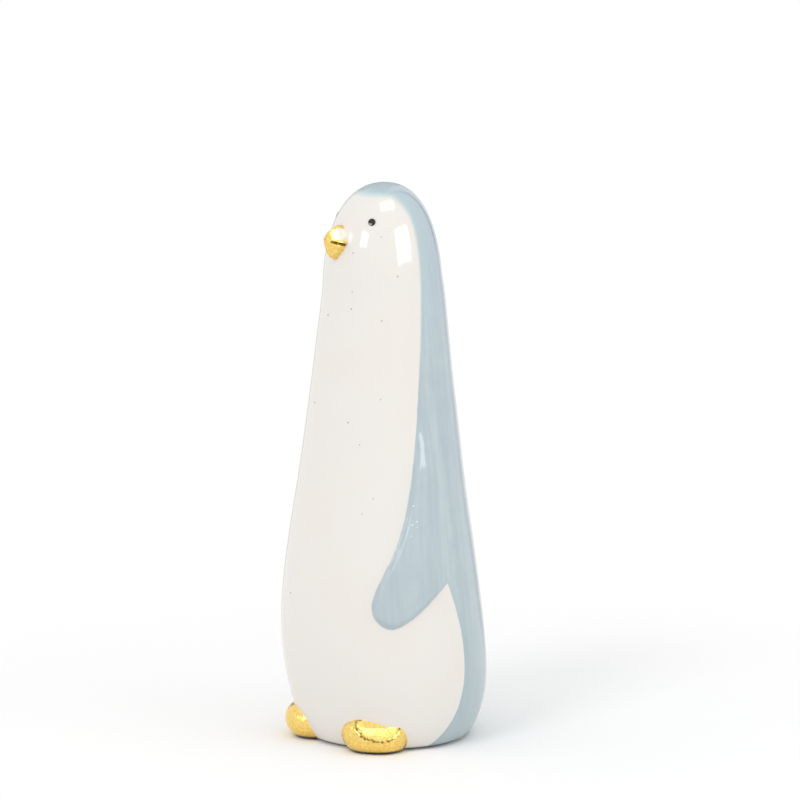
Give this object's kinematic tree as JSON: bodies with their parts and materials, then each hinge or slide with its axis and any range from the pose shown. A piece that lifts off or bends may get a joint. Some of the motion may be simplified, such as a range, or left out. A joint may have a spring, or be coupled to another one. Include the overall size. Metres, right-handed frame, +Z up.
{
  "type": "penguin figurine",
  "caption": "Slender upright ceramic penguin ornament with low-relief flippers, a gilded beak and gilded feet, standing on its own flat base.",
  "frame": {"origin": "centre of the flat base, on the surface that the figurine stands on", "axes": "+Z up, -Y the way the penguin faces, +X towards the penguin's own left"},
  "size_m": [0.0678, 0.0666, 0.18],
  "materials": {
    "white_glaze": "glossy milk-white glaze",
    "blue_glaze": "glossy grey-blue glaze, brushed on",
    "gold_lustre": "crinkled gold lustre over glaze",
    "black_enamel": "glossy black enamel"
  },
  "bodies": {
    "root": {"body_shell": "white_glaze", "back_glaze": "blue_glaze", "left_flipper": "blue_glaze", "right_flipper": "blue_glaze", "beak": "gold_lustre", "left_foot": "gold_lustre", "right_foot": "gold_lustre", "left_eye": "black_enamel", "right_eye": "black_enamel"}
  },
  "joints": []
}
